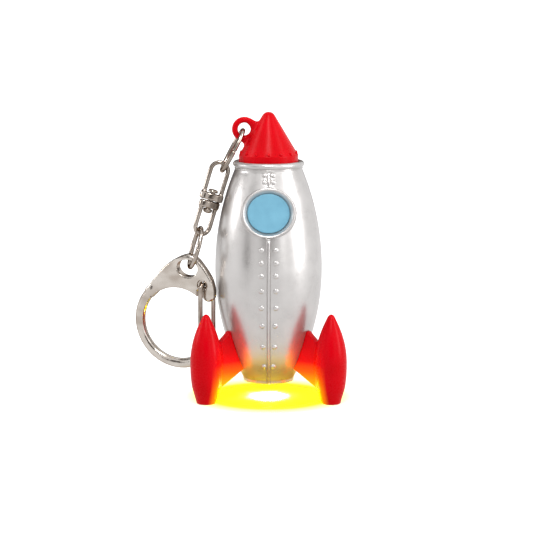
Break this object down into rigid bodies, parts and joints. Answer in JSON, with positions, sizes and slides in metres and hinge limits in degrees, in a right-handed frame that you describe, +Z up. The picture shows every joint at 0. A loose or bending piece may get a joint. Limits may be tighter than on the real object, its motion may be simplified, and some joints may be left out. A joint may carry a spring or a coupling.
{
  "type": "key ring torch",
  "caption": "Toy space rocket key ring light: riveted silver hull on red pod fins, red push-button nose with an eyelet, and a nickel chain with swivel and snap clasp.",
  "frame": {"origin": "middle of the whole model's box, on the plane the feet stand on", "axes": "+Z up along the rocket, -Y towards the porthole side, -X towards the chain"},
  "size_m": [0.059, 0.0396, 0.08],
  "materials": {
    "silver": "satin silver paint on moulded plastic",
    "red": "satin moulded plastic",
    "blue": "flat paint",
    "nickel": "warm nickel plate",
    "spring_steel": "bright spring wire",
    "bare_metal": "tinned metal",
    "cell_steel": "satin steel can",
    "frame_white": "moulded plastic",
    "board_green": "solder mask",
    "switch_black": "moulded plastic",
    "resistor_blue": "lacquer",
    "wire_red": "insulation",
    "wire_black": "insulation",
    "amber_lens": "translucent amber plastic, lit from behind",
    "lamp_clear": "clear resin, lit"
  },
  "bodies": {
    "rocket": {"hull_front": "silver", "hull_rear": "silver", "porthole_window": "blue", "button_spring": "spring_steel", "fin_left": "red", "fin_right": "red", "fin_rear": "red", "tail_lens": "amber_lens", "lamp": "lamp_clear", "lamp_lead_left": "bare_metal", "lamp_lead_right": "bare_metal", "battery_frame": "frame_white", "coin_cell_1": "cell_steel", "coin_cell_2": "cell_steel", "coin_cell_3": "cell_steel", "contact_lower": "bare_metal", "contact_upper": "bare_metal", "circuit_board": "board_green", "switch_body": "switch_black", "resistor": "resistor_blue", "wire_red": "wire_red", "wire_black": "wire_black", "screw_left": "bare_metal", "screw_right": "bare_metal"},
    "nose_button": {"nose_cone": "red"},
    "switch_stem": {"switch_plunger": "frame_white"},
    "upper_ring": {"jump_ring_upper": "nickel"},
    "swivel_top": {"swivel_upper": "nickel", "swivel_rivet": "nickel"},
    "swivel_bottom": {"swivel_lower": "nickel"},
    "lower_ring": {"jump_ring_lower": "nickel"},
    "clasp": {"clasp_body": "nickel"},
    "gate": {"clasp_gate": "nickel"}
  },
  "joints": [
    {"name": "nose_press", "type": "slide", "parent": "rocket", "child": "nose_button", "axis": [0, 0, -1], "range_m": [0, 0.0008], "stiffness_N_per_m": 1200, "deforming": ["button_spring"]},
    {"name": "switch_press", "type": "slide", "parent": "rocket", "child": "switch_stem", "axis": [0, 0, -1], "range_m": [0, 0.0008]},
    {"name": "upper_ring_swing", "type": "hinge", "parent": "nose_button", "child": "upper_ring", "pos_m": [0.00081, -0.00459, 0.07488], "axis": [-0.1369, 0.9901, -0.0316], "range_deg": [0, 60]},
    {"name": "swivel_swing", "type": "hinge", "parent": "upper_ring", "child": "swivel_top", "pos_m": [-0.00496, -0.00574, 0.06385], "axis": [-0.1369, 0.9901, -0.0316], "range_deg": [0, 35]},
    {"name": "swivel_turn", "type": "hinge", "parent": "swivel_top", "child": "swivel_bottom", "pos_m": [-0.00486, -0.00579, 0.0666], "axis": [0.2907, 0.0641, 0.9546], "range_deg": [-2, 60]},
    {"name": "lower_ring_swing", "type": "hinge", "parent": "swivel_bottom", "child": "lower_ring", "pos_m": [-0.01086, -0.00749, 0.048], "axis": [-0.2127, 0.9761, -0.045], "range_deg": [0, 30]},
    {"name": "clasp_swing", "type": "hinge", "parent": "lower_ring", "child": "clasp", "pos_m": [-0.01386, -0.00864, 0.03725], "axis": [-0.2127, 0.9761, -0.045], "range_deg": [0, 25]},
    {"name": "gate_open", "type": "hinge", "parent": "clasp", "child": "gate", "pos_m": [-0.01004, -0.0093, 0.03255], "axis": [0.3746, 0.9221, 0.0969], "range_deg": [0, 18], "stiffness_Nm_per_rad": 0.004}
  ],
  "couplings": [
    {"joint": "switch_press", "follows": "nose_press", "ratio": 1}
  ]
}
